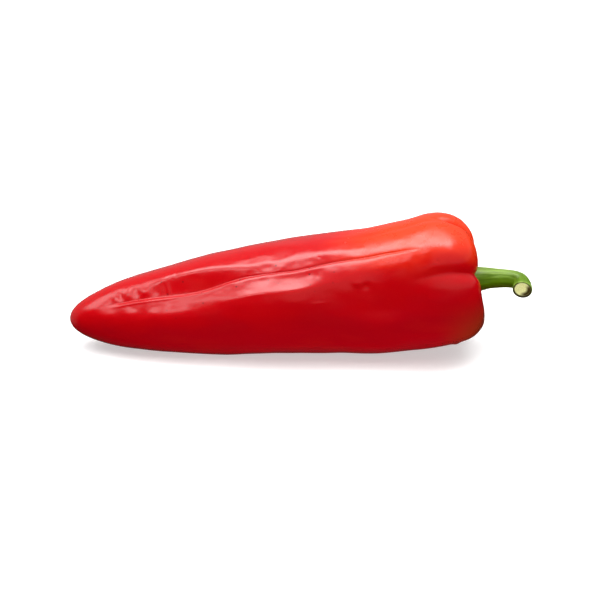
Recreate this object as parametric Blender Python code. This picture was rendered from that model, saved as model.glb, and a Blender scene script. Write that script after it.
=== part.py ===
"""A long sweet bell pepper as picked, lying on its side: fruit, calyx and stem.

Metres, +Z up. The table is z = 0 and the origin is under the middle of the whole pepper.
The fruit's blunt tip points to -X and its stem end to +X. Its axis rises a little towards
the stem end, because the fruit is a cone that rests along its flank.
Around the axis, angle 0 faces -Y, 90 degrees is up, and -90 degrees is the table.
Distances "along" are measured on the axis from the tip.
"""

import math

import bmesh
import bpy
import numpy as np
from mathutils import Vector
from mathutils.geometry import interpolate_bezier

MM = 0.001

# Where the fruit lies
TIP_X = -92.0 * MM
AXIS_Y = 0.2 * MM
AXIS_HEIGHT = (  # along, height, in mm
    (0.0, 11.6),
    (34.0, 15.5),
    (70.0, 20.0),
    (104.0, 23.5),
    (122.0, 24.3),
    (136.0, 27.4),
    (148.0, 30.2),
    (166.0, 30.6),
)
SECTION_TILT = math.radians(9.0)  # how far the cross sections lean back from upright

# Half outline as Bezier knots, in mm: (along, radius), each with its handles, tip first
OUTLINE = (
    ((0.0, 0.0), (0.0, 0.0), (0.0, 7.6)),
    ((60.0, 20.4), (17.0, 14.8), (87.0, 23.2)),
    ((141.0, 27.0), (124.0, 25.4), (154.0, 28.3)),
    ((163.6, 14.5), (163.6, 24.0), (163.6, 9.5)),
    ((156.0, 0.0), (156.7, 8.5), (0.0, 0.0)),
)

# The long crease along the flank, in mm and degrees:
# along, angle, depth, width above it, width below it
CREASE = (
    (7.0, 43.0, 0.0, 3.5, 5.0),
    (20.0, 45.0, 0.9, 5.0, 7.0),
    (35.0, 44.8, 1.6, 6.0, 9.0),
    (47.0, 43.8, 3.0, 9.0, 10.0),
    (60.0, 46.0, 3.0, 9.0, 11.0),
    (72.0, 50.5, 1.6, 6.0, 11.0),
    (95.0, 50.5, 0.9, 5.0, 9.0),
    (117.0, 57.0, 0.5, 5.0, 7.0),
    (140.0, 55.0, 0.0, 4.0, 5.0),
)
CREASE_CORNER = 1.1 * MM

# The hollow above the crease: its middle and half length along, its offset and half width
HOLLOW_MIDDLE = 50.0 * MM
HOLLOW_REACH = 22.0 * MM
HOLLOW_OFFSET = 4.0 * MM
HOLLOW_DEPTH = 0.7 * MM

# The flattened flank: its middle and half length along, its angle and half width, depth
FLANK = (126.0 * MM, 25.0 * MM, 11.0, 11.5 * MM, 3.5 * MM)

# Furrows between the lobes at the shoulders: angle, depth in mm, half width in degrees,
# and where on the outline each starts and is full, in mm
FURROWS = (
    (85.0, 2.6, 8.0, 132.0, 164.0),
    (27.5, 2.5, 10.0, 134.0, 164.0),
    (-80.0, 2.2, 16.0, 96.0, 156.0),
    (176.0, 2.8, 17.0, 60.0, 156.0),
)
POLE_FADE = (5.0 * MM, 14.0 * MM)  # radii between which they die out, at tip and dimple

# Green parts
GAP = 0.3 * MM
CALYX_SHARE = 0.955  # where its rim is, on the outline from tip (0) to dimple floor (1)
CALYX_TEETH = 6
CALYX_TOOTH = 0.004  # length of the teeth, as a share of the outline
CALYX_RIM = 1.1 * MM
CALYX_HUB = 3.3 * MM
STEM = (  # (x, y, z), radius in mm: straight out of the calyx, then round towards -Y
    ((68.2, 0.2, 29.2), 5.2),
    ((71.6, 0.2, 29.8), 4.8),
    ((75.8, 0.4, 29.9), 4.0),
    ((81.3, 0.5, 30.0), 3.6),
    ((87.0, -0.2, 29.8), 3.4),
    ((88.8, -3.5, 28.8), 3.5),
    ((88.0, -7.1, 28.1), 4.0),
)

MERIDIANS = 72
RINGS = 48
CROWDING = 0.35  # how much closer the meridians lie beside the crease


def smooth_step(low, high, value):
    """0 below low, 1 above high, and an S curve between them."""
    t = np.clip((value - low) / (high - low), 0.0, 1.0)
    return t * t * (3.0 - 2.0 * t)


def smooth_curve(at, stations):
    """Values at the places `at` on a cubic curve through stations of (place, value)."""
    place, value = np.array(stations, float).T
    slope = np.gradient(value, place)
    at = np.clip(at, place[0], place[-1])
    i = np.clip(np.searchsorted(place, at, side="right") - 1, 0, len(place) - 2)
    step = place[i + 1] - place[i]
    t = (at - place[i]) / step
    keep = 2.0 * t**3 - 3.0 * t**2 + 1.0
    return (
        keep * value[i]
        + (1.0 - keep) * value[i + 1]
        + (t**3 - 2.0 * t**2 + t) * step * slope[i]
        + (t**3 - t**2) * step * slope[i + 1]
    )


def crease_value(column, along):
    """One column of CREASE at distances along the axis, in the table's own unit."""
    return smooth_curve(along / MM, [(row[0], row[column]) for row in CREASE])


def outline_points(per_piece=64):
    """The half outline as closely spaced (along, radius) points, in metres."""
    points = []
    for (start, _, leave), (end, arrive, _) in zip(OUTLINE, OUTLINE[1:]):
        piece = interpolate_bezier(*(Vector(p) for p in (start, leave, arrive, end)), per_piece)
        points += piece[1:] if points else piece
    return np.array([point[:2] for point in points]) * MM


OUTLINE_POINTS = outline_points()
OUTLINE_STEPS = np.linalg.norm(np.diff(OUTLINE_POINTS, axis=0), axis=1)
OUTLINE_RUN = np.concatenate(([0.0], np.cumsum(OUTLINE_STEPS)))
OUTLINE_TANGENT = np.gradient(OUTLINE_POINTS, OUTLINE_RUN, axis=0)


def on_outline(share):
    """Along, radius, outward normal and run at a share of the way along the outline."""
    run = share * OUTLINE_RUN[-1]
    along, radius = (np.interp(run, OUTLINE_RUN, column) for column in OUTLINE_POINTS.T)
    d_along, d_radius = (np.interp(run, OUTLINE_RUN, column) for column in OUTLINE_TANGENT.T)
    size = np.hypot(d_along, d_radius)
    return along, radius, -d_radius / size, d_along / size, run


def around(angle, centre):
    """The turn from centre to angle, in radians, from -pi to pi."""
    return (angle - centre + math.pi) % (2.0 * math.pi) - math.pi


def crease_relief(along, radius, angle):
    """Depth of the long crease, a V with its outer corners rounded, and of its hollow."""
    offset = around(angle, np.radians(crease_value(1, along))) * radius
    depth = crease_value(2, along) * MM
    width = np.where(offset > 0, crease_value(3, along), crease_value(4, along)) * MM
    vee = CREASE_CORNER * np.log1p(np.exp((width - np.abs(offset)) / CREASE_CORNER)) / width
    far = ((along - HOLLOW_MIDDLE) / HOLLOW_REACH) ** 2
    aside = ((offset - HOLLOW_OFFSET) / HOLLOW_OFFSET) ** 2
    return depth * vee + HOLLOW_DEPTH * np.exp(-far - aside)


def flank_relief(along, radius, angle):
    """Depth by which the flank below the crease is flattened, towards the shoulders."""
    middle, half_length, centre, half_width, depth = FLANK
    ahead = (along - middle) / half_length
    aside = around(angle, math.radians(centre)) * radius / half_width
    return depth * np.exp(-(ahead**2) - aside**2)


def furrow_relief(run, angle):
    """Depth of the furrows between the lobes, which run over the shoulders to the stem."""
    depth = 0.0
    for centre, deepest, half_width, start, full in FURROWS:
        turn = around(angle, math.radians(centre)) / math.radians(half_width)
        section = np.exp(1.0 - np.sqrt(1.0 + 4.0 * turn**2))
        depth = depth + deepest * MM * section * smooth_step(start * MM, full * MM, run)
    return depth


def skin_point(share, turn, lift=0.0):
    """Points lifted off the skin. share runs from tip to dimple, turn around from the crease."""
    along, radius, normal_along, normal_out, run = on_outline(share)
    angle = np.radians(crease_value(1, along)) + turn - CROWDING * np.sin(turn)
    depth = crease_relief(along, radius, angle) + furrow_relief(run, angle)
    depth = depth + flank_relief(along, radius, angle)
    sink = depth * smooth_step(*POLE_FADE, radius) - lift
    height = smooth_curve(along / MM, AXIS_HEIGHT) * MM
    along = along - normal_along * sink
    radius = radius - normal_out * sink
    up = radius * np.sin(angle)
    return np.stack(
        [
            TIP_X + along - up * math.sin(SECTION_TILT),
            AXIS_Y - radius * np.cos(angle),
            height + up * math.cos(SECTION_TILT),
        ],
        axis=-1,
    )


def material(name, colour, roughness):
    made = bpy.data.materials.new(name)
    made.use_nodes = True
    shader = made.node_tree.nodes["Principled BSDF"]
    shader.inputs["Base Color"].default_value = (*colour, 1.0)
    shader.inputs["Roughness"].default_value = roughness
    shader.inputs["Metallic"].default_value = 0.0
    return made


def sphere(meridians, rings):
    """A UV sphere as a bmesh, with each vertex's share from pole to pole and its turn."""
    shape = bmesh.new()
    bmesh.ops.create_uvsphere(shape, u_segments=meridians, v_segments=rings, radius=1.0)
    unit = np.array([vertex.co for vertex in shape.verts])
    share = np.arccos(np.clip(-unit[:, 2], -1.0, 1.0)) / math.pi
    return shape, share, np.arctan2(unit[:, 1], unit[:, 0])


def add_shape(name, shape, points, finish):
    """Move a bmesh's vertices to points and add it as a smooth object, faces outwards."""
    for vertex, point in zip(shape.verts, points):
        vertex.co = point
    if shape.calc_volume(signed=True) < 0.0:
        bmesh.ops.reverse_faces(shape, faces=shape.faces)
    mesh = bpy.data.meshes.new(name)
    shape.to_mesh(mesh)
    shape.free()
    mesh.shade_smooth()
    mesh.materials.append(finish)
    obj = bpy.data.objects.new(name, mesh)
    bpy.context.scene.collection.objects.link(obj)


def build_fruit():
    """A sphere whose poles become the tip and the dimple floor, flat where it rests."""
    shape, share, turn = sphere(MERIDIANS, RINGS)
    skin = skin_point(share, turn)
    skin[:, 2] = np.maximum(skin[:, 2], 0.0)
    add_shape("fruit", shape, skin, material("skin_red", (0.55, 0.006, 0.008), 0.25))


def build_calyx():
    """A sphere flattened into a toothed saucer that lines the dimple, thick in the middle."""
    shape, share, turn = sphere(36, 16)
    reach = np.sin(share * math.pi)
    rim = CALYX_SHARE + CALYX_TOOTH * np.cos(CALYX_TEETH * turn)
    thickness = CALYX_RIM + (CALYX_HUB - CALYX_RIM) * (1.0 - reach**2) ** 2
    lift = GAP + thickness * (1.0 + np.cos(share * math.pi)) / 2.0
    points = skin_point(1.0 - (1.0 - rim) * reach, turn, lift)
    add_shape("calyx", shape, points, material("calyx_green", (0.16, 0.30, 0.02), 0.5))


def build_stem():
    """A tapered tube along a curve, with flat ends."""
    curve = bpy.data.curves.new("stem", "CURVE")
    curve.dimensions = "3D"
    curve.resolution_u = 5
    curve.bevel_depth = 1.0
    curve.bevel_resolution = 6
    curve.use_fill_caps = True
    spline = curve.splines.new("NURBS")
    spline.points.add(len(STEM) - 1)
    for knot, (place, radius) in zip(spline.points, STEM):
        knot.co = (*(value * MM for value in place), 1.0)
        knot.radius = radius * MM
    spline.use_endpoint_u = True
    spline.order_u = 4
    curve.materials.append(material("stem_green", (0.20, 0.36, 0.03), 0.45))
    bpy.context.scene.collection.objects.link(bpy.data.objects.new("stem", curve))


def main():
    for obj in list(bpy.data.objects):
        bpy.data.objects.remove(obj)
    build_fruit()
    build_calyx()
    build_stem()


main()
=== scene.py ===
"""The looks of a long sweet red pepper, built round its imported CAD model.

Metres, +Z up, in the CAD model's frame: the table is z = 0, the tip points to -X and the
stem to +X. Around the fruit's axis, angle 0 faces -Y, 90 degrees is up, and distances
"along" are measured on the axis from the tip. Tables are in millimetres and degrees.
"""

import math

import bmesh
import bpy
import numpy as np
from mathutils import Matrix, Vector, noise
from mathutils.geometry import interpolate_bezier


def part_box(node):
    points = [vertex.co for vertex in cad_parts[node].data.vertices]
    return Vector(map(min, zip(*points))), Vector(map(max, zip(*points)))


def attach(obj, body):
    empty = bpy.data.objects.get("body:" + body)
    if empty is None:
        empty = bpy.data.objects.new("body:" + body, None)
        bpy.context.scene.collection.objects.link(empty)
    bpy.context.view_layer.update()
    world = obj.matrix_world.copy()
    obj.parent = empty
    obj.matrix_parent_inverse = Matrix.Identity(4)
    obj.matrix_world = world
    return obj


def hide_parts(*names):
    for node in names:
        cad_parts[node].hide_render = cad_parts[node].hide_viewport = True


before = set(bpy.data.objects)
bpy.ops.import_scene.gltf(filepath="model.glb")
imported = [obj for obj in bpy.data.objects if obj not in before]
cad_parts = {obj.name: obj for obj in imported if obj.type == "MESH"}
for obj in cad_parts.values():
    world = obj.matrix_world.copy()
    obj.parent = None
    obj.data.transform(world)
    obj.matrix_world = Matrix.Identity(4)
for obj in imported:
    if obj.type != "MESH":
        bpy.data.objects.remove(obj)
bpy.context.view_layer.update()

MM = 0.001

# ---------------------------------------------------------------------------------------
# The fruit's shape, as in the CAD model
# ---------------------------------------------------------------------------------------

TIP_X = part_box("fruit")[0].x
AXIS_Y = 0.2 * MM
AXIS_HEIGHT = (  # along, height
    (0.0, 11.6),
    (34.0, 15.5),
    (70.0, 20.0),
    (104.0, 23.5),
    (122.0, 24.3),
    (136.0, 27.4),
    (148.0, 30.2),
    (166.0, 30.6),
)
SECTION_TILT = math.radians(9.0)  # how far the cross sections lean back from upright
OUTLINE = (  # Bezier knots (along, radius), each with its handles, tip first
    ((0.0, 0.0), (0.0, 0.0), (0.0, 7.6)),
    ((60.0, 20.4), (17.0, 14.8), (87.0, 23.2)),
    ((141.0, 27.0), (124.0, 25.4), (154.0, 28.3)),
    ((163.6, 14.5), (163.6, 24.0), (163.6, 9.5)),
    ((156.0, 0.0), (156.7, 8.5), (0.0, 0.0)),
)
POLE_FADE = (5.0 * MM, 14.0 * MM)  # radii between which relief dies out, at tip and dimple

# The long crease along the flank. Its sides fall to its depth over the widths above and
# below it; a curve of 1 makes a side straight, and more makes it steepest at its rim. The
# step is the share of the depth that the lower side takes at once. The bulge is the height
# of the swelling below it, and the fold is the depth of a fine fold in its bottom.
CREASE_COLUMNS = (
    "along", "angle", "depth", "above", "above_curve", "below", "below_curve", "step", "bulge",
    "fold",
)
CREASE = (
    (7.0, 43.0, 0.0, 3.5, 1.0, 5.0, 1.0, 0.0, 0.0, 0.0),
    (13.0, 44.0, 0.1, 4.0, 1.0, 6.0, 1.0, 0.0, 0.1, 0.0),
    (20.0, 45.0, 0.6, 4.8, 1.0, 7.5, 1.4, 0.35, 0.3, 0.0),
    (27.0, 45.5, 1.2, 5.2, 1.0, 8.7, 1.8, 0.3, 0.6, 0.0),
    (37.0, 44.6, 1.7, 6.0, 1.3, 9.5, 2.0, 0.32, 0.7, 0.0),
    (44.0, 44.0, 2.6, 8.0, 1.45, 10.0, 2.0, 0.3, 0.5, 0.0),
    (51.0, 43.6, 2.9, 8.5, 1.45, 10.0, 1.9, 0.4, 0.4, 0.0),
    (60.0, 46.0, 2.9, 8.0, 1.45, 10.3, 1.6, 0.45, 0.3, 0.0),
    (67.0, 49.5, 2.1, 6.0, 1.4, 10.6, 1.3, 0.3, 0.6, 0.1),
    (73.0, 50.9, 1.3, 4.5, 1.2, 11.3, 1.1, 0.25, 1.3, 0.2),
    (80.0, 50.9, 0.7, 4.5, 1.0, 11.0, 1.0, 0.0, 1.7, 0.3),
    (95.0, 50.5, 0.7, 4.5, 1.0, 10.0, 1.0, 0.0, 1.8, 0.4),
    (106.0, 54.0, 0.6, 4.5, 1.0, 9.0, 1.0, 0.0, 0.6, 0.4),
    (117.0, 57.0, 0.4, 4.5, 1.0, 7.0, 1.0, 0.0, 0.2, 0.4),
    (128.0, 56.8, 0.3, 4.2, 1.0, 6.0, 1.0, 0.0, 0.0, 0.5),
    (136.0, 54.3, 0.2, 3.6, 1.0, 5.5, 1.0, 0.0, 0.0, 0.4),
    (142.0, 52.0, 0.0, 3.0, 1.0, 5.0, 1.0, 0.0, 0.0, 0.0),
)
ABOVE_CORNER = 0.5 * MM  # how far a side's rim is rounded: the upper side's,
PLEAT_CORNER = 1.2 * MM  # the upper side's beside the pleats,
BELOW_CORNER = 0.8 * MM  # the lower side's,
STEP_CORNER = 0.25 * MM  # and the step's
STEP_WIDTH = 1.1 * MM
FOLD_WIDTH = 0.35 * MM
BULGE_CREST = 8.5 * MM  # how far below the crease the bulge is full, and where it ends
BULGE_END = 45.0 * MM
BULGE_POWER = 3  # how steeply it rises
BULGE_CORNER = 0.10  # how much its crest is rounded off, as a share of its height
LIPS = (  # beads below the crease: height, offset and half width in mm, and their two ends
    (0.14, -1.3, 0.6, ((16.0, 26.0), (62.0, 74.0))),
    (0.24, -1.1, 1.3, ((66.0, 78.0), (98.0, 110.0))),
)
PLEAT_DEPTH = 0.18 * MM  # of the short pleats that cross the crease's upper side
PLEAT_WIDTH = 3.0 * MM
PLEAT_PLACE = 23.2 * MM  # how far along one of them lies
PLEAT_RATIO = 1.27  # how many times as far along the next one lies
PLEAT_ENDS = ((18.5, 22.5), (37.0, 41.0))

# The flattened flank: its middle and half length along, its angle and half width, depth
FLANK = (126.0 * MM, 25.0 * MM, 11.0, 11.5 * MM, 3.5 * MM)

# Furrows between the lobes: angle, depth, half width, where each starts and is full
FURROWS = (
    (83.0, 0.4, 5.0, 100.0, 150.0),
    (88.0, 3.3, 4.0, 152.0, 165.0),
    (27.5, 1.9, 9.0, 134.0, 164.0),
    (-80.0, 2.2, 16.0, 96.0, 156.0),
    (176.0, 2.8, 17.0, 60.0, 156.0),
)

# Single marks on the skin: along, angle, height, half length, half width around
MARKS = (
    (42.3, 54.0, 0.30, 0.5, 3.6),  # ridge across the crease's upper side, after the pleats
    (45.5, 21.0, 0.32, 4.0, 2.3),  # swellings below the crease, towards the tip
    (37.0, 21.0, 0.32, 3.5, 2.2),
    (27.0, 22.0, 0.40, 4.0, 2.2),
    (17.5, 22.0, 0.45, 4.0, 2.2),
    (82.8, 58.5, -0.25, 3.0, 1.8),  # hollows and a crest just above the crease
    (88.0, 55.5, 0.15, 1.8, 1.2),
    (94.0, 57.0, -0.22, 3.5, 1.8),
    (44.8, 66.0, -0.10, 0.5, 0.5),  # pits
    (46.2, 71.0, -0.10, 0.5, 0.5),
    (99.5, 64.0, -0.14, 0.45, 0.45),
    (103.1, 61.0, -0.12, 0.45, 0.45),
    (99.5, 58.5, -0.10, 1.2, 1.2),
    (147.5, 38.5, -0.25, 0.6, 0.5),
    (39.1, -8.7, 0.20, 0.5, 0.5),
    (98.6, 44.0, -0.12, 0.9, 1.6),  # small folds below the crease
    (101.7, 42.6, -0.09, 0.8, 1.2),
    (116.5, 33.4, 0.30, 2.0, 1.5),  # a wrinkled place lower down
    (119.7, 30.4, -0.25, 1.6, 1.5),
    (138.5, 62.0, 0.12, 2.2, 6.0),  # the neck before the shoulders
    (142.5, 52.0, -0.22, 2.4, 6.0),
    (143.0, 108.0, -1.3, 15.0, 12.0),  # the far lobe lies lower than the near one
    (142.1, 8.3, 0.10, 0.7, 2.5),
    (100.4, 15.4, 0.12, 2.5, 0.6),
    (150.8, -62.0, 0.50, 1.6, 1.2),
)

# Uneven growth: height, and how long and how far around each swell is
SWELLS = ((0.40, 24.0, 9.0), (0.12, 9.0, 5.0))
RIPPLE = (0.13, 5.0, 3.4)  # closer ones, only beside the crease
RIPPLE_REACH = 11.0 * MM
RIPPLE_ENDS = ((58.0, 76.0), (146.0, 160.0))

# Mesh
MERIDIANS = 236
RINGS = 392
CROWDING = 0.45  # how much closer the meridians lie beside the crease


def mix(first, second, share):
    """first where the share is 0, second where it is 1, and a blend between."""
    return first + (second - first) * share


def smooth_step(low, high, value):
    """0 below low, 1 above high, and an S curve between them."""
    t = np.clip((value - low) / (high - low), 0.0, 1.0)
    return t * t * (3.0 - 2.0 * t)


def smooth_curve(at, stations):
    """Values at the places `at` on a cubic curve through stations of (place, value)."""
    place, value = np.array(stations, float).T
    slope = np.gradient(value, place)
    at = np.clip(at, place[0], place[-1])
    i = np.clip(np.searchsorted(place, at, side="right") - 1, 0, len(place) - 2)
    step = place[i + 1] - place[i]
    t = (at - place[i]) / step
    keep = 2.0 * t**3 - 3.0 * t**2 + 1.0
    return (
        keep * value[i]
        + (1.0 - keep) * value[i + 1]
        + (t**3 - 2.0 * t**2 + t) * step * slope[i]
        + (t**3 - t**2) * step * slope[i + 1]
    )


def crease_value(column, along):
    """One column of CREASE at distances along the axis, in the table's own unit."""
    i = CREASE_COLUMNS.index(column)
    return smooth_curve(along / MM, [(row[0], row[i]) for row in CREASE])


def outline_points(per_piece=96):
    """The half outline as closely spaced (along, radius) points, in metres."""
    points = []
    for (start, _, leave), (end, arrive, _) in zip(OUTLINE, OUTLINE[1:]):
        piece = interpolate_bezier(*(Vector(p) for p in (start, leave, arrive, end)), per_piece)
        points += piece[1:] if points else piece
    return np.array([point[:2] for point in points]) * MM


OUTLINE_POINTS = outline_points()
OUTLINE_STEPS = np.linalg.norm(np.diff(OUTLINE_POINTS, axis=0), axis=1)
OUTLINE_RUN = np.concatenate(([0.0], np.cumsum(OUTLINE_STEPS)))
OUTLINE_TANGENT = np.gradient(OUTLINE_POINTS, OUTLINE_RUN, axis=0)


def on_outline(share):
    """Along, radius, outward normal and run at a share of the way along the outline."""
    run = share * OUTLINE_RUN[-1]
    along, radius = (np.interp(run, OUTLINE_RUN, column) for column in OUTLINE_POINTS.T)
    d_along, d_radius = (np.interp(run, OUTLINE_RUN, column) for column in OUTLINE_TANGENT.T)
    size = np.hypot(d_along, d_radius)
    return along, radius, -d_radius / size, d_along / size, run


def around(angle, centre):
    """The turn from centre to angle, in radians, from -pi to pi."""
    return (angle - centre + math.pi) % (2.0 * math.pi) - math.pi


def between(along, ends):
    """1 between two fading ends, each given as two distances along, and 0 outside them."""
    start, stop = (smooth_step(low * MM, high * MM, along) for low, high in ends)
    return start * (1.0 - stop)


def crease_offset(along, radius, angle):
    """Distance over the skin from the crease, positive above it."""
    return around(angle, np.radians(crease_value("angle", along))) * radius


def crease_side(reach, width, curve, corner):
    """Depth of one side of the crease, from 1 in the crease to 0 past its rounded rim."""
    inward = corner * np.logaddexp(0.0, (width - reach) / corner) / width
    return 1.0 - (1.0 - np.minimum(inward, 1.0)) ** curve


def crease_depth(along, offset):
    """Depth of the crease's two sides, with the step in the lower one and the fine fold."""
    reach = np.abs(offset)
    corner = mix(ABOVE_CORNER, PLEAT_CORNER, between(along, PLEAT_ENDS))
    above_width, below_width = (crease_value(side, along) * MM for side in ("above", "below"))
    above = crease_side(reach, above_width, crease_value("above_curve", along), corner)
    below = crease_side(reach, below_width, crease_value("below_curve", along), BELOW_CORNER)
    step = crease_side(reach, STEP_WIDTH, 1.0, STEP_CORNER)
    below = mix(below, step, crease_value("step", along))
    depth = crease_value("depth", along) * MM * np.where(offset > 0, above, below)
    return depth + crease_value("fold", along) * MM * np.exp(-reach / FOLD_WIDTH)


def pleat_depth(along, offset):
    """Depth of the short pleats, which lie further apart the further they are from the tip."""
    count = np.log(np.maximum(along, MM) / PLEAT_PLACE) / math.log(PLEAT_RATIO)
    hump = (np.maximum(offset, 0.0) / PLEAT_WIDTH) ** 2
    hump = hump * np.exp(1.0 - hump)
    return PLEAT_DEPTH * hump * np.cos(2.0 * math.pi * count) * between(along, PLEAT_ENDS)


def lip_height(along, offset):
    """Height of the beads below the crease."""
    total = 0.0
    for height, middle, half_width, ends in LIPS:
        bead = np.exp(-(((offset / MM - middle) / half_width) ** 2)) * between(along, ends)
        total = total + height * MM * bead
    return total


def bulge_height(along, offset):
    """Height of the swelling below the crease, which rises to a soft crest and falls off."""
    rise = (np.maximum(-offset, 0.0) / BULGE_CREST) ** BULGE_POWER
    fall = smooth_step(BULGE_END, 0.0, -offset)
    bulge = -BULGE_CORNER * np.log(np.exp(-rise / BULGE_CORNER) + np.exp(-fall / BULGE_CORNER))
    return crease_value("bulge", along) * MM * np.maximum(bulge, 0.0)


def crease_relief(along, radius, angle):
    """Depth of the long crease, with the pleats, lips and bulge beside it."""
    offset = crease_offset(along, radius, angle)
    depth = crease_depth(along, offset) + pleat_depth(along, offset)
    return depth - lip_height(along, offset) - bulge_height(along, offset)


def flank_relief(along, radius, angle):
    """Depth by which the flank below the crease is flattened, towards the shoulders."""
    middle, half_length, centre, half_width, depth = FLANK
    ahead = (along - middle) / half_length
    aside = around(angle, math.radians(centre)) * radius / half_width
    return depth * np.exp(-(ahead**2) - aside**2)


def furrow_relief(run, angle):
    """Depth of the furrows between the lobes, which run over the shoulders to the stem."""
    depth = 0.0
    for centre, deepest, half_width, start, full in FURROWS:
        turn = around(angle, math.radians(centre)) / math.radians(half_width)
        section = np.exp(1.0 - np.sqrt(1.0 + 4.0 * turn**2))
        depth = depth + deepest * MM * section * smooth_step(start * MM, full * MM, run)
    return depth


def mark_relief(along, radius, angle):
    """Height of the single marks."""
    height = 0.0
    for at, centre, tall, half_length, half_width in MARKS:
        ahead = (along / MM - at) / half_length
        aside = around(angle, math.radians(centre)) * radius / MM / half_width
        height = height + tall * MM * np.exp(-(ahead**2) - aside**2)
    return height


def swell(along, radius, angle, height, length, breadth):
    """Smooth irregular swells of a height, length and breadth in mm."""
    across = radius / MM / breadth
    places = np.stack(
        [along / MM / length, across * np.cos(angle), across * np.sin(angle)], axis=-1
    )
    return height * MM * np.array([noise.noise(place) for place in places])


def growth_relief(along, radius, angle):
    """Height of the swells all over, and of the ripples beside the crease."""
    offset = crease_offset(along, radius, angle)
    beside = np.exp(-((offset / RIPPLE_REACH) ** 2)) * between(along, RIPPLE_ENDS)
    height = beside * swell(along, radius, angle, *RIPPLE)
    for each in SWELLS:
        height = height + swell(along, radius, angle, *each)
    return height


def skin_angle(along, turn):
    """Angle around the axis at a turn from the crease, where the meridians crowd together."""
    return np.radians(crease_value("angle", along)) + turn - CROWDING * np.sin(turn)


def skin_point(share, turn, lift=0.0):
    """Points lifted off the skin. share runs from tip to dimple, turn around from the crease."""
    along, radius, normal_along, normal_out, run = on_outline(share)
    angle = skin_angle(along, turn)
    depth = crease_relief(along, radius, angle) + furrow_relief(run, angle)
    depth = depth + flank_relief(along, radius, angle)
    depth = depth - mark_relief(along, radius, angle) - growth_relief(along, radius, angle)
    sink = depth * smooth_step(*POLE_FADE, radius) - lift
    height = smooth_curve(along / MM, AXIS_HEIGHT) * MM
    along = along - normal_along * sink
    radius = radius - normal_out * sink
    up = radius * np.sin(angle)
    return np.stack(
        [
            TIP_X + along - up * math.sin(SECTION_TILT),
            AXIS_Y - radius * np.cos(angle),
            height + up * math.cos(SECTION_TILT),
        ],
        axis=-1,
    )


# ---------------------------------------------------------------------------------------
# Materials
# ---------------------------------------------------------------------------------------


PER_MM = (1000.0, 1000.0, 1000.0)  # makes a texture's scale its number of features per mm
PER_MM_LONG = (350.0, 1000.0, 1000.0)  # the same, with the features drawn out along the fruit


class Finish:
    """A node material with a principled shader, and short ways to add and link its nodes."""

    def __init__(self, name, colour, roughness):
        self.material = bpy.data.materials.new(name)
        self.material.use_nodes = True
        self.tree = self.material.node_tree
        self.shader = self.tree.nodes["Principled BSDF"]
        self.shader.inputs["Base Color"].default_value = (*colour, 1.0)
        self.shader.inputs["Roughness"].default_value = roughness

    def put(self, socket, value):
        """Link a node's output to an input, or set the input to a plain value."""
        if isinstance(value, bpy.types.NodeSocket):
            self.tree.links.new(value, socket)
        else:
            socket.default_value = value

    def place(self, scale):
        """Places on the object, scaled so that one unit is 1 / scale metres."""
        coordinates = self.tree.nodes.new("ShaderNodeTexCoord")
        mapping = self.tree.nodes.new("ShaderNodeMapping")
        self.put(mapping.inputs["Vector"], coordinates.outputs["Object"])
        self.put(mapping.inputs["Scale"], scale)
        return mapping.outputs["Vector"]

    def attribute(self, name, output="Fac"):
        node = self.tree.nodes.new("ShaderNodeAttribute")
        node.attribute_name = name
        return node.outputs[output]

    def noise(self, vector, scale, detail=3.0, roughness=0.5):
        node = self.tree.nodes.new("ShaderNodeTexNoise")
        self.put(node.inputs["Vector"], vector)
        self.put(node.inputs["Scale"], scale)
        self.put(node.inputs["Detail"], detail)
        self.put(node.inputs["Roughness"], roughness)
        return node.outputs["Fac"]

    def spots(self, vector, scale):
        """Distance to the nearest of many scattered points."""
        node = self.tree.nodes.new("ShaderNodeTexVoronoi")
        self.put(node.inputs["Vector"], vector)
        self.put(node.inputs["Scale"], scale)
        return node.outputs["Distance"]

    def ramp(self, value, low, high, to_low=0.0, to_high=1.0):
        node = self.tree.nodes.new("ShaderNodeMapRange")
        node.interpolation_type = "SMOOTHSTEP"
        limits = (value, low, high, to_low, to_high)
        for socket, each in zip(("Value", "From Min", "From Max", "To Min", "To Max"), limits):
            self.put(node.inputs[socket], each)
        return node.outputs["Result"]

    def math(self, operation, first, second):
        node = self.tree.nodes.new("ShaderNodeMath")
        node.operation = operation
        self.put(node.inputs[0], first)
        self.put(node.inputs[1], second)
        return node.outputs["Value"]

    def mix(self, share, first, second):
        """Blend two colours by a share."""
        node = self.tree.nodes.new("ShaderNodeMix")
        node.data_type = "RGBA"
        self.put(node.inputs["Factor"], share)
        for socket, colour in zip((node.inputs[6], node.inputs[7]), (first, second)):
            self.put(socket, (*colour, 1.0) if isinstance(colour, tuple) else colour)
        return node.outputs[2]

    def bump(self, height, distance, after=None):
        """A bump of a height up to a distance in metres, on top of an earlier one."""
        node = self.tree.nodes.new("ShaderNodeBump")
        self.put(node.inputs["Height"], height)
        self.put(node.inputs["Distance"], distance)
        if after:
            self.put(node.inputs["Normal"], after)
        return node.outputs["Normal"]

    def done(self, colour, roughness, normal):
        self.put(self.shader.inputs["Base Color"], colour)
        self.put(self.shader.inputs["Roughness"], roughness)
        self.put(self.shader.inputs["Normal"], normal)
        return self.material


SKIN_RED = (0.365, 0.0003, 0.0025)
# the crimson is the pores' deeper red, and painted shade on the faces turned down
SKIN_CRIMSON_PORES_AND_SHADE = (0.305, 0.0002, 0.004)
SKIN_ORANGE = (0.62, 0.030, 0.004)
# painted shade with a painted reflected glow, for the undersides at the stem end and the tip
SKIN_PAINTED_SHADE_GLOW = (0.20, 0.024, 0.005)
SKIN_SPECK = (0.05, 0.001, 0.002)
SKIN_ROUGHNESS = (0.15, 0.25)
SHOULDER_ROUGHNESS = 0.1  # what the warm shoulders add to it
CLOUDS = 0.12  # features per mm
FINE_GRAIN = 1.6
PORES = 0.75
SPECKS = 0.26
SMEARS = 0.22
DENTS = 0.28
DENT_HEIGHT = 0.09 * MM
FINE_HEIGHT = 0.006 * MM  # of the fine grain and of the pores


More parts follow.
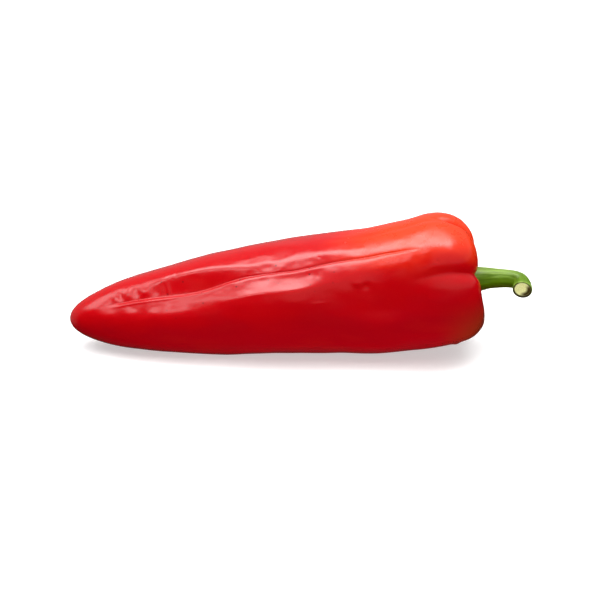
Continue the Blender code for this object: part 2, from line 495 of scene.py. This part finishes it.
def skin_material():
    """Waxy red: warmer over the shoulders, with painted shade as a darker, bluer red low down,
    painted shade and a painted reflected glow in orange-brown under the stem end and the tip,
    finely pored, and with small dark specks beside the crease."""
    finish = Finish("pepper_skin", SKIN_RED, SKIN_ROUGHNESS[0])
    place = finish.place(PER_MM)
    cloud = finish.noise(finish.place(PER_MM_LONG), CLOUDS)
    fine = finish.noise(place, FINE_GRAIN, 2.0)
    pores = finish.spots(place, PORES)
    specks = finish.ramp(finish.spots(place, SPECKS), 0.13, 0.06)
    specks = finish.math("MULTIPLY", finish.attribute("specked"), specks)
    # painted shade: low turns the faces that face down a darker, bluer crimson
    low = finish.math("ADD", finish.attribute("low"), finish.ramp(cloud, 0.3, 0.7, -0.25, 0.25))
    warm = finish.math("ADD", finish.attribute("warm"), finish.ramp(cloud, 0.3, 0.7, -0.12, 0.12))
    colour = finish.mix(finish.ramp(low, 0.0, 1.0), SKIN_RED, SKIN_CRIMSON_PORES_AND_SHADE)
    colour = finish.mix(finish.ramp(warm, 0.0, 1.0), colour, SKIN_ORANGE)
    # painted shade and painted reflected glow: orange-brown under the stem end and the tip
    colour = finish.mix(finish.attribute("painted_shade_glow"), colour, SKIN_PAINTED_SHADE_GLOW)
    colour = finish.mix(finish.ramp(fine, 0.5, 0.8, 0.0, 0.08), colour, SKIN_ORANGE)
    colour = finish.mix(finish.ramp(pores, 0.0, 0.16, 0.22, 0.0), colour, SKIN_CRIMSON_PORES_AND_SHADE)
    colour = finish.mix(specks, colour, SKIN_SPECK)
    roughness = finish.ramp(finish.noise(place, SMEARS, 4.0), 0.3, 0.7, *SKIN_ROUGHNESS)
    duller = finish.ramp(warm, 0.2, 1.0, 0.0, SHOULDER_ROUGHNESS)
    roughness = finish.math("ADD", roughness, duller)
    normal = finish.bump(finish.noise(place, DENTS, 1.0), DENT_HEIGHT)
    normal = finish.bump(fine, FINE_HEIGHT, normal)
    normal = finish.bump(finish.ramp(pores, 0.0, 0.2), FINE_HEIGHT, normal)
    return finish.done(colour, roughness, normal)


GREEN_DARK = (0.045, 0.095, 0.001)
GREEN = (0.075, 0.150, 0.001)
# paler green for the calyx's veins, and painted light on the stem's top and lip
GREEN_PALE_VEINS_AND_LIT = (0.17, 0.27, 0.040)
# painted shade for the stem's underside
PAINTED_SHADE_OLIVE = (0.055, 0.058, 0.001)
# a painted shadow line round the pith of the stem's cut
CUT_RIM_PAINTED_SHADOW = (0.030, 0.022, 0.004)
PITH = (0.93, 0.90, 0.50)
PITH_GREEN = (0.72, 0.72, 0.30)
# painted shadow on one side of the sunk pith
PITH_PAINTED_SHADOW = (0.050, 0.032, 0.006)
CALYX_BROWN = (0.11, 0.085, 0.01)
STEM_ROUGHNESS = (0.34, 0.5)
STEM_SHEEN = 0.35  # its specular level
STEM_STREAKS = 2.0  # along its own grain
STEM_FIBRES = 2.6  # features per mm
STEM_GRAIN = 2.0
STREAK_HEIGHT = 0.12 * MM
STEM_GRAIN_HEIGHT = 0.04 * MM
CALYX_ROUGHNESS = (0.42, 0.6)
CALYX_VEINS = 2.6  # along its own grain
CALYX_PATCHES = 0.35  # features per mm
CALYX_VEIN_HEIGHT = 0.2 * MM


def stem_material():
    """Green with pale and dark streaks along it, painted light on top, a painted highlight on the
    lip and painted shade in olive underneath, and fibrous cream pith in the cut end, ringed by a
    painted shadow line and with a painted shadow crescent on one side.
    """
    finish = Finish("pepper_stem", GREEN, STEM_ROUGHNESS[0])
    place = finish.place(PER_MM)
    grain = finish.attribute("grain", "Vector")
    streaks = finish.noise(grain, STEM_STREAKS, 4.0, 0.6)
    colour = finish.mix(finish.ramp(streaks, 0.3, 0.55), GREEN_DARK, GREEN)
    uneven = finish.ramp(streaks, 0.35, 0.7, -0.25, 0.3)
    # painted light: paler on the stem's top and a painted highlight on its lip, broken up by the
    # streaks
    pale = finish.math("ADD", finish.attribute("pale"), uneven)
    colour = finish.mix(finish.ramp(pale, 0.0, 1.0), colour, GREEN_PALE_VEINS_AND_LIT)
    # painted shade: olive underneath
    colour = finish.mix(finish.attribute("underside_shade"), colour, PAINTED_SHADE_OLIVE)
    fibres = finish.spots(place, STEM_FIBRES)
    pith = finish.mix(finish.ramp(fibres, 0.1, 0.55), PITH, PITH_GREEN)
    # painted shadow: a dark crescent on one side of the sunk pith
    pith = finish.mix(finish.attribute("painted_cut_shadow"), pith, PITH_PAINTED_SHADOW)
    colour = finish.mix(finish.attribute("cut"), colour, pith)
    # painted shadow: a dark ring round the pith, at its recess's rim
    colour = finish.mix(finish.attribute("rim"), colour, CUT_RIM_PAINTED_SHADOW)
    roughness = finish.ramp(streaks, 0.3, 0.7, *STEM_ROUGHNESS)
    normal = finish.bump(streaks, STREAK_HEIGHT)
    normal = finish.bump(finish.noise(place, STEM_GRAIN, 2.0), STEM_GRAIN_HEIGHT, normal)
    finish.shader.inputs["Specular IOR Level"].default_value = STEM_SHEEN
    return finish.done(colour, roughness, normal)


def calyx_material():
    """Leathery green, veined from the middle outwards, and browner at its rim."""
    finish = Finish("pepper_calyx", GREEN, CALYX_ROUGHNESS[0])
    place = finish.place(PER_MM)
    grain = finish.attribute("grain", "Vector")
    veins = finish.noise(grain, CALYX_VEINS, 4.0, 0.6)
    patches = finish.noise(place, CALYX_PATCHES)
    colour = finish.mix(finish.ramp(patches, 0.35, 0.65), GREEN_DARK, GREEN)
    colour = finish.mix(finish.ramp(veins, 0.52, 0.72, 0.0, 0.6), colour, GREEN_PALE_VEINS_AND_LIT)
    colour = finish.mix(finish.attribute("rim"), colour, CALYX_BROWN)
    roughness = finish.ramp(patches, 0.3, 0.7, *CALYX_ROUGHNESS)
    normal = finish.bump(veins, CALYX_VEIN_HEIGHT)
    return finish.done(colour, roughness, normal)


# ---------------------------------------------------------------------------------------
# Pieces
# ---------------------------------------------------------------------------------------


def sphere(meridians, rings):
    """A UV sphere as a bmesh, with each vertex's share from pole to pole and its turn."""
    shape = bmesh.new()
    bmesh.ops.create_uvsphere(shape, u_segments=meridians, v_segments=rings, radius=1.0)
    unit = np.array([vertex.co for vertex in shape.verts])
    share = np.arccos(np.clip(-unit[:, 2], -1.0, 1.0)) / math.pi
    return shape, share, np.arctan2(unit[:, 1], unit[:, 0])


def grain_places(turn, around_scale, way, along_scale):
    """Places for a texture that runs lengthwise: round a circle, and slowly along it."""
    across = around_scale * np.cos(turn), around_scale * np.sin(turn)
    return np.stack([*across, along_scale * way], axis=-1)


def add_piece(name, shape, points, finish, node, slot, **attributes):
    """Put a bmesh's vertices at points and add it as a smooth piece that replaces a node.

    Each attribute is a number or a vector for every vertex, which the material reads.
    """
    for vertex, point in zip(shape.verts, points):
        vertex.co = point
    if shape.calc_volume(signed=True) < 0.0:
        bmesh.ops.reverse_faces(shape, faces=shape.faces)
    mesh = bpy.data.meshes.new(name)
    shape.to_mesh(mesh)
    shape.free()
    mesh.shade_smooth()
    mesh.materials.append(finish)
    for key, values in attributes.items():
        kind, field = ("FLOAT", "value") if values.ndim == 1 else ("FLOAT_VECTOR", "vector")
        layer = mesh.attributes.new(key, kind, "POINT")
        layer.data.foreach_set(field, values.astype(np.float32).ravel())
    piece = bpy.data.objects.new(name, mesh)
    bpy.context.scene.collection.objects.link(piece)
    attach(piece, "root")
    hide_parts(node)


# Where the skin is warm, where painted shade darkens it low down, and where painted shade
# and a painted reflected glow turn it orange-brown under the stem end and the tip: distances
# over the outline from the tip, and how far a place faces up, from -1 to 1. Each sets in from
# its first value to its second.
WARM_RUN = (100.0 * MM, 150.0 * MM)
WARM_UPWARD = (0.45, 1.0)
PAINTED_SHADE_UPWARD = (0.6, -0.4)
END_SHADE_GLOW_RUN = (148.0 * MM, 168.0 * MM)
END_SHADE_GLOW_UPWARD = (0.1, -0.8)
TIP_SHADE_GLOW_RUN = (24.0 * MM, 6.0 * MM)
TIP_SHADE_GLOW_UPWARD = (-0.3, -0.95)
END_SHADE_GLOW = 0.8  # how much painted shade and reflected glow it gets at the stem's end, and under the tip
TIP_SHADE_GLOW = 0.56
SPECK_REACH = 8.0 * MM  # how far from the crease the specks lie, and between which two ends
SPECK_ENDS = ((30.0, 42.0), (118.0, 132.0))


def build_fruit():
    """The fruit: a sphere whose poles become the tip and the dimple, flat where it rests."""
    shape, share, turn = sphere(MERIDIANS, RINGS)
    skin = skin_point(share, turn)
    skin[:, 2] = np.maximum(skin[:, 2], 0.0)
    along, radius, _, _, run = on_outline(share)
    upward = np.sin(skin_angle(along, turn))
    warm = smooth_step(*WARM_RUN, run) * smooth_step(*WARM_UPWARD, upward)
    # painted shade: how far a place faces down, for a darker crimson there
    low = smooth_step(*PAINTED_SHADE_UPWARD, upward)
    # painted shade and reflected glow on the undersides at the stem end and the tip
    stem_end = smooth_step(*END_SHADE_GLOW_RUN, run) * smooth_step(*END_SHADE_GLOW_UPWARD, upward)
    under_tip = smooth_step(*TIP_SHADE_GLOW_RUN, run) * smooth_step(*TIP_SHADE_GLOW_UPWARD, upward)
    painted_shade_glow = np.maximum(END_SHADE_GLOW * stem_end, TIP_SHADE_GLOW * under_tip)
    offset = crease_offset(along, radius, skin_angle(along, turn))
    specked = np.exp(-((offset / SPECK_REACH) ** 2)) * between(along, SPECK_ENDS)
    attributes = {"warm": warm, "low": low, "painted_shade_glow": painted_shade_glow, "specked": specked}
    add_piece("pepper_fruit", shape, skin, skin_material(), "fruit", "skin", **attributes)


# The calyx, a six-toothed saucer that lines the dimple
CALYX_GAP = 0.3 * MM
CALYX_SHARE = 0.955  # where its rim is, on the outline from tip (0) to dimple floor (1)
CALYX_TEETH = 6
CALYX_TOOTH = 0.004  # length of the teeth, as a share of the outline
CALYX_RIM = 0.8 * MM
CALYX_HUB = 3.3 * MM
CALYX_VEIN = 0.22 * MM
CALYX_BROWN_FROM = (0.9, 1.0)  # where it turns brown, as shares of the way out to its rim
CALYX_GRAIN_AROUND = 3.0
CALYX_GRAIN_OUT = 0.4
CALYX_MERIDIANS = 144
CALYX_RINGS = 48


def build_calyx():
    """A sphere flattened into a toothed saucer, thick in the middle and veined on top."""
    shape, share, turn = sphere(CALYX_MERIDIANS, CALYX_RINGS)
    reach = np.sin(share * math.pi)
    upper = (1.0 + np.cos(share * math.pi)) / 2.0
    tooth = np.abs(np.cos(0.5 * CALYX_TEETH * turn)) ** 1.6
    rim = CALYX_SHARE - CALYX_TOOTH * (2.0 * tooth - 1.0)
    thickness = CALYX_RIM + (CALYX_HUB - CALYX_RIM) * (1.0 - reach**2) ** 2
    vein = CALYX_VEIN * tooth**4 * reach * (1.0 - reach**8)
    points = skin_point(1.0 - (1.0 - rim) * reach, turn, CALYX_GAP + (thickness + vein) * upper)
    grain = grain_places(turn, CALYX_GRAIN_AROUND, reach, CALYX_GRAIN_OUT)
    attributes = {"grain": grain, "rim": smooth_step(*CALYX_BROWN_FROM, reach)}
    add_piece("pepper_calyx", shape, points, calyx_material(), "calyx", "calyx", **attributes)


# The stem, along the CAD model's spline: knots (x, y, z) and radius
STEM = (
    ((68.2, 0.2, 29.2), 5.2),
    ((71.6, 0.2, 29.8), 4.8),
    ((75.8, 0.4, 29.9), 4.0),
    ((81.3, 0.5, 30.0), 3.6),
    ((87.0, -0.2, 29.8), 3.4),
    ((88.8, -3.5, 28.8), 3.5),
    ((88.0, -7.1, 28.1), 3.9),
)
STEM_PROFILE = (  # share from pole to pole, share of the way along the stem, share of radius
    (0.00, 0.000, 0.00),
    (0.05, 0.000, 0.96),
    (0.07, 0.012, 1.00),
    (0.76, 0.960, 1.00),
    (0.80, 0.985, 1.02),
    (0.82, 0.996, 1.00),
    (0.84, 1.000, 0.95),
    (0.86, 1.000, 0.90),
    (0.88, 0.995, 0.84),
    (0.90, 0.985, 0.78),
    (1.00, 0.988, 0.00),
)
STEM_RIBS = ((5, 0.035, 0.6), (8, 0.015, 2.0), (13, 0.008, 1.0))  # number, height, phase
STEM_LUMPS = 0.05  # their height, like the ribs', is a share of the radius
STEM_UNEVEN_WAY = (1.0, 0.75)  # both set in from the cut end back, by shares of the way along
STEM_GRAIN_AROUND = 2.0
STEM_GRAIN_ALONG = 1.2
STEM_LUMPS_ALONG = 6.0
STEM_MERIDIANS = 72
STEM_RINGS = 132
CUT_FROM = (0.885, 0.90)  # shares from pole to pole where the pith sets in,
SHADOW_RIM_FROM = (0.835, 0.85)  # the dark rim round it, a painted shadow line,
LIP_FROM = (0.77, 0.82)  # and the lip outside that, painted pale as a highlight
LIP_PAINTED_HIGHLIGHT = 0.8
TOP_PAINTED_LIGHT = 0.7  # how much light is painted pale on the stem's top, how far it faces up there, and where along
TOP_LIGHT_UPWARD = (0.25, 1.0)
TOP_LIGHT_WAY = (1.0, 0.55)
UNDER_SHADE = 0.9  # how much shade is painted olive underneath, and how far it faces up there
UNDER_SHADE_UPWARD = (0.1, -0.8)
CUT_SHADOW_TURN = 0.5  # how far round the cut its painted shadow lies, in radians
CUT_SHADOW_SIDE = (0.0, 0.8)  # how far towards that side it sets in, and how far from the middle
CUT_SHADOW_WIDTH = (0.3, 0.6)


def clamped_spline(knots, at, degree=3):
    """Points of a uniform B-spline that starts and ends on its knots, at shares from 0 to 1."""
    spans = len(knots) - degree
    marks = np.concatenate((np.zeros(degree), np.arange(spans + 1), np.full(degree, spans)))
    at = np.clip(at, 0.0, 1.0 - 1e-9) * spans
    basis = [((marks[i] <= at) & (at < marks[i + 1])).astype(float) for i in range(len(marks) - 1)]
    for step in range(1, degree + 1):
        for i in range(len(marks) - 1 - step):
            rise, fall = marks[i + step] - marks[i], marks[i + step + 1] - marks[i + 1]
            left = (at - marks[i]) / rise * basis[i] if rise else 0.0
            right = (marks[i + step + 1] - at) / fall * basis[i + 1] if fall else 0.0
            basis[i] = left + right
    return sum(weight[:, None] * np.array(knot) for weight, knot in zip(basis, knots))


def build_stem():
    """A ribbed tube along the stem's spline, cut off flat, with pith sunk in the cut."""
    shape, share, turn = sphere(STEM_MERIDIANS, STEM_RINGS)
    stations, ways, widths = np.array(STEM_PROFILE).T
    way = np.interp(share, stations, ways)
    width = np.interp(share, stations, widths)
    knots = [(*place, radius) for place, radius in STEM]
    centre = clamped_spline(knots, way)
    ahead = clamped_spline(knots, way + 0.01)[:, :3] - clamped_spline(knots, way - 0.01)[:, :3]
    ahead = ahead / np.linalg.norm(ahead, axis=1)[:, None]
    side = np.cross(ahead, (0.0, 0.0, 1.0))
    side = side / np.linalg.norm(side, axis=1)[:, None]
    top = np.cross(side, ahead)
    ribs = sum(height * np.cos(count * turn + phase) for count, height, phase in STEM_RIBS)
    lump_places = grain_places(turn, STEM_GRAIN_AROUND, way, STEM_LUMPS_ALONG)
    lumps = STEM_LUMPS * np.array([noise.noise(place) for place in lump_places])
    uneven = (ribs + lumps) * smooth_step(*STEM_UNEVEN_WAY, way)
    radius = (centre[:, 3] * width * (1.0 + uneven))[:, None]
    points = centre[:, :3] + radius * (np.cos(turn)[:, None] * side + np.sin(turn)[:, None] * top)
    grain = grain_places(turn, STEM_GRAIN_AROUND, way, STEM_GRAIN_ALONG)
    upward = np.cos(turn) * side[:, 2] + np.sin(turn) * top[:, 2]
    cut = smooth_step(*CUT_FROM, share)
    # painted shadow line round the pith
    rim = smooth_step(*SHADOW_RIM_FROM, share) * (1.0 - cut)
    lip = smooth_step(*LIP_FROM, share) * (1.0 - rim) * (1.0 - cut)
    # painted light: paler where the stem faces up, and a painted highlight on the lip
    painted_top_light = TOP_PAINTED_LIGHT * smooth_step(*TOP_LIGHT_UPWARD, upward) * smooth_step(*TOP_LIGHT_WAY, way)
    pale = np.maximum(painted_top_light, LIP_PAINTED_HIGHLIGHT * lip)
    # painted shadow crescent on one side of the sunk pith
    to_cut_shadow = smooth_step(*CUT_SHADOW_SIDE, -np.cos(turn - CUT_SHADOW_TURN))
    painted_cut_shadow = to_cut_shadow * smooth_step(*CUT_SHADOW_WIDTH, width) * cut
    # painted shade: olive where the stem faces down
    underside_shade = UNDER_SHADE * smooth_step(*UNDER_SHADE_UPWARD, upward)
    attributes = {"grain": grain, "pale": pale, "underside_shade": underside_shade}
    attributes |= {"cut": cut, "rim": rim, "painted_cut_shadow": painted_cut_shadow}
    add_piece("pepper_stem", shape, points * MM, stem_material(), "stem", "stem", **attributes)


# ---------------------------------------------------------------------------------------
# Stage, light and camera
# ---------------------------------------------------------------------------------------

CAMERA_ELEVATION = math.radians(25.0)
CAMERA_LENS = 100.0
SENSOR = 36.0
VIEW_WIDTH = 0.24  # how wide a stretch the picture shows, where the pepper is
AIM_HEIGHT = 20.4 * MM
AIM_X = 0.4 * MM
SOFTBOXES = (  # name, place, size, radiance, how soft the edges are each way
    ("softbox", (0.0, 0.03, 0.85), (1.24, 0.76), 7.6, (0.3, 0.9)),
    ("softbox_left", (-1.0, 0.08, 0.85), (1.0, 0.64), 3.6, (0.35, 0.5)),
    ("softbox_front", (-0.6, -0.37, 0.85), (0.84, 0.44), 4.4, (0.7, 0.6)),
)
OVERHEAD = ((0.0, 0.0, 0.9), (1.8, 1.4), 1.7)  # place, size, radiance
BOUNCE_NEAR = 0.02
BOUNCE_FAR = 0.9
BOUNCE_LENGTH = 2.0
BOUNCE_DROP = 0.01
BOUNCE_RADIANCE = 1.8

# What reflections see of the room, by the direction's X, Y and Z, and how bright it is
FRONT_RISE = (math.sin(math.radians(8.0)), math.sin(math.radians(12.0)))
FRONT_BRIGHTNESS = (0.01, 0.5)
LEFT_FADE = (-0.36, -0.18)
LEFT_SHARE = 0.04  # how much of the front's brightness is left on the far left
BACK_RISE = (-0.60, -0.35)
BACK_BRIGHTNESS = (0.03, 0.38)
BACK_FROM = (-0.2, 0.1)
RIGHT_FADE = (0.5, 0.1)

FLOOR_REACH = 6.0
FLOOR_DROP = 0.05 * MM
FLOOR_GREY = (0.6, 0.6, 0.6)
FLOOR_ROUGHNESS = 0.9
FLOOR_GLOW = 0.5


def add_camera():
    data = bpy.data.cameras.new("camera")
    data.lens = CAMERA_LENS
    data.sensor_width = SENSOR
    camera = bpy.data.objects.new("camera", data)
    bpy.context.scene.collection.objects.link(camera)
    away = VIEW_WIDTH * CAMERA_LENS / SENSOR
    back = Vector((0.0, -math.cos(CAMERA_ELEVATION), math.sin(CAMERA_ELEVATION)))
    camera.location = Vector((AIM_X, AXIS_Y, AIM_HEIGHT)) + back * away
    camera.rotation_euler = (math.pi / 2 - CAMERA_ELEVATION, 0.0, 0.0)
    bpy.context.scene.camera = camera


def soften_edges(data, softness):
    """Let a panel's light fade towards its edges, over a share of its half size each way."""
    data.use_nodes = True
    tree = data.node_tree
    across = tree.nodes.new("ShaderNodeSeparateXYZ")
    tree.links.new(tree.nodes.new("ShaderNodeNewGeometry").outputs["Parametric"], across.inputs[0])
    strength = None
    for axis, share in zip("XY", softness):
        from_middle = tree.nodes.new("ShaderNodeMath")
        from_middle.operation = "SUBTRACT"
        from_middle.inputs[1].default_value = 0.5
        tree.links.new(across.outputs[axis], from_middle.inputs[0])
        distance = tree.nodes.new("ShaderNodeMath")
        distance.operation = "ABSOLUTE"
        tree.links.new(from_middle.outputs[0], distance.inputs[0])
        fade = tree.nodes.new("ShaderNodeMapRange")
        fade.interpolation_type = "SMOOTHSTEP"
        fade.inputs["From Min"].default_value = 0.5
        fade.inputs["From Max"].default_value = 0.5 * (1.0 - share)
        tree.links.new(distance.outputs[0], fade.inputs["Value"])
        product = tree.nodes.new("ShaderNodeMath")
        product.operation = "MULTIPLY"
        product.inputs[1].default_value = 1.0
        if strength:
            tree.links.new(strength, product.inputs[1])
        tree.links.new(fade.outputs["Result"], product.inputs[0])
        strength = product.outputs[0]
    tree.links.new(strength, tree.nodes["Emission"].inputs["Strength"])


def add_panel(name, place, size, radiance, upward=False, mirrored=True, softness=None):
    """A rectangular area light that faces straight down, or up, and may not show in gloss."""
    data = bpy.data.lights.new(name, "AREA")
    data.shape = "RECTANGLE"
    data.size, data.size_y = size
    data.energy = radiance * math.pi * size[0] * size[1]
    if softness:
        soften_edges(data, softness)
    light = bpy.data.objects.new(name, data)
    light.location = place
    light.rotation_euler.x = math.pi if upward else 0.0
    light.visible_camera = False
    light.visible_glossy = mirrored
    data.cycles.use_multiple_importance_sampling = mirrored
    bpy.context.scene.collection.objects.link(light)


def add_bounce():
    """Soft light from the table round the pepper, which its waxy skin doesn't mirror."""
    near, far, middle = BOUNCE_NEAR, BOUNCE_FAR, (BOUNCE_NEAR + BOUNCE_FAR) / 2
    for name, sign in (("bounce_front", -1.0), ("bounce_back", 1.0)):
        place = (0.0, sign * middle, -BOUNCE_DROP)
        size = (BOUNCE_LENGTH, far - near)
        add_panel(name, place, size, BOUNCE_RADIANCE, upward=True, mirrored=False)


def add_world():
    """White to the camera. Reflections see a dim room in front above 10 degrees, darker to
    the left, and a dim room behind down to the far table, with the rest nearly dark."""
    world = bpy.data.worlds.new("studio")
    world.use_nodes = True
    tree = world.node_tree
    tree.nodes.clear()
    parts = tree.nodes.new("ShaderNodeSeparateXYZ")
    tree.links.new(tree.nodes.new("ShaderNodeTexCoord").outputs["Generated"], parts.inputs[0])

    def fade(axis, low, high, dark=0.0, bright=1.0):
        node = tree.nodes.new("ShaderNodeMapRange")
        tree.links.new(parts.outputs[axis], node.inputs["Value"])
        limits = (low, high, dark, bright)
        for socket, limit in zip(("From Min", "From Max", "To Min", "To Max"), limits):
            node.inputs[socket].default_value = limit
        return node.outputs["Result"]

    def combine(operation, first, second):
        node = tree.nodes.new("ShaderNodeMath")
        node.operation = operation
        tree.links.new(first, node.inputs[0])
        tree.links.new(second, node.inputs[1])
        return node.outputs["Value"]

    front = fade("Z", *FRONT_RISE, *FRONT_BRIGHTNESS)
    front = combine("MULTIPLY", front, fade("X", *LEFT_FADE, LEFT_SHARE))
    back = combine("MULTIPLY", fade("Z", *BACK_RISE, *BACK_BRIGHTNESS), fade("Y", *BACK_FROM))
    back = combine("MULTIPLY", back, fade("X", *RIGHT_FADE))
    dim = tree.nodes.new("ShaderNodeBackground")
    tree.links.new(combine("MAXIMUM", front, back), dim.inputs["Strength"])
    white = tree.nodes.new("ShaderNodeBackground")
    both = tree.nodes.new("ShaderNodeMixShader")
    path = tree.nodes.new("ShaderNodeLightPath")
    tree.links.new(path.outputs["Is Camera Ray"], both.inputs["Fac"])
    tree.links.new(dim.outputs[0], both.inputs[1])
    tree.links.new(white.outputs[0], both.inputs[2])
    out = tree.nodes.new("ShaderNodeOutputWorld")
    tree.links.new(both.outputs[0], out.inputs["Surface"])
    bpy.context.scene.world = world


def add_floor():
    shape = bmesh.new()
    bmesh.ops.create_grid(shape, x_segments=1, y_segments=1, size=FLOOR_REACH)
    mesh = bpy.data.meshes.new("floor")
    shape.to_mesh(mesh)
    shape.free()
    finish = Finish("floor_white", FLOOR_GREY, FLOOR_ROUGHNESS)
    finish.shader.inputs["Emission Color"].default_value = (1.0, 1.0, 1.0, 1.0)
    finish.shader.inputs["Emission Strength"].default_value = FLOOR_GLOW
    mesh.materials.append(finish.material)
    floor = bpy.data.objects.new("floor", mesh)
    floor.location.z = -FLOOR_DROP
    floor.visible_diffuse = False
    floor.visible_glossy = False
    floor.visible_shadow = False
    bpy.context.scene.collection.objects.link(floor)


def main():
    bpy.context.scene.view_settings.view_transform = "Standard"
    build_fruit()
    build_calyx()
    build_stem()
    add_floor()
    add_world()
    for *panel, softness in SOFTBOXES:
        add_panel(*panel, softness=softness)
    add_panel("overhead", *OVERHEAD, mirrored=False)
    add_bounce()
    add_camera()


main()
